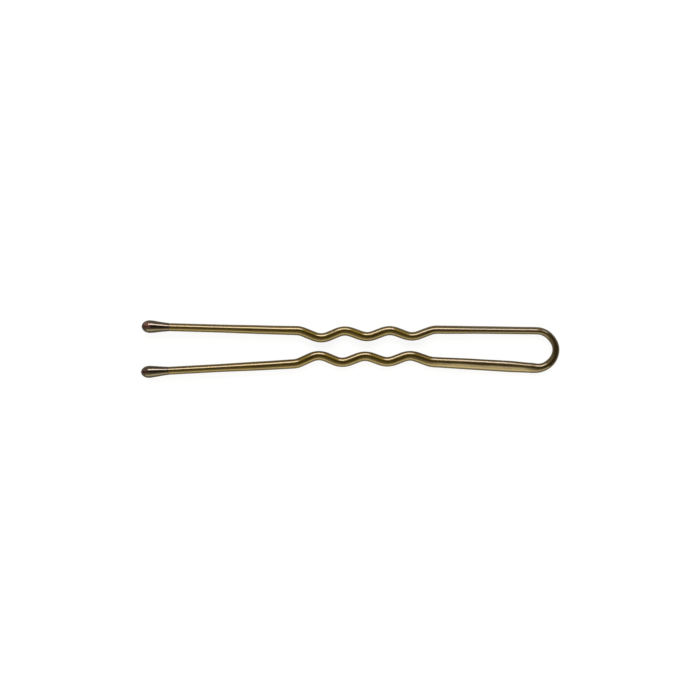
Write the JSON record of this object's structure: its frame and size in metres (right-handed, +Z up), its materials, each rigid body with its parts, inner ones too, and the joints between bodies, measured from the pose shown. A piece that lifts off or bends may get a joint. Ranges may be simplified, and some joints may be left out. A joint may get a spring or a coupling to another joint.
{
  "type": "crinkled hairpin",
  "caption": "Open U-shaped hairpin of sprung lacquered wire: a round bow, waved legs that flex apart and a resin drop on the end of each leg.",
  "frame": {"origin": "on the ground under the middle of the pin, half way between the noses of the drops and the outside of the bow", "axes": "+X along the pin towards the bow, +Y across it towards the upper leg, +Z up, square to the plane in which the wire is bent"},
  "size_m": [0.065, 0.009, 0.002],
  "materials": {
    "lacquered_wire": "glossy bronze lacquer on round spring-steel wire",
    "drop_resin": "dark brown glossy cured resin"
  },
  "bodies": {
    "bow": {"bow": "lacquered_wire", "upper_flex": "lacquered_wire", "lower_flex": "lacquered_wire"},
    "upper_leg": {"upper_leg": "lacquered_wire", "upper_tip": "drop_resin"},
    "lower_leg": {"lower_leg": "lacquered_wire", "lower_tip": "drop_resin"}
  },
  "joints": [
    {"name": "upper_leg_flex", "type": "hinge", "parent": "bow", "child": "upper_leg", "pos_m": [0.02193, 0.00297, 0.001], "axis": [0, 0, -1], "range_deg": [-1.2, 6], "stiffness_Nm_per_rad": 1.05, "deforming": ["upper_flex"]},
    {"name": "lower_leg_flex", "type": "hinge", "parent": "bow", "child": "lower_leg", "pos_m": [0.02175, -0.00249, 0.001], "axis": [0, 0, 1], "range_deg": [-1.2, 6], "stiffness_Nm_per_rad": 1.05, "deforming": ["lower_flex"]}
  ]
}
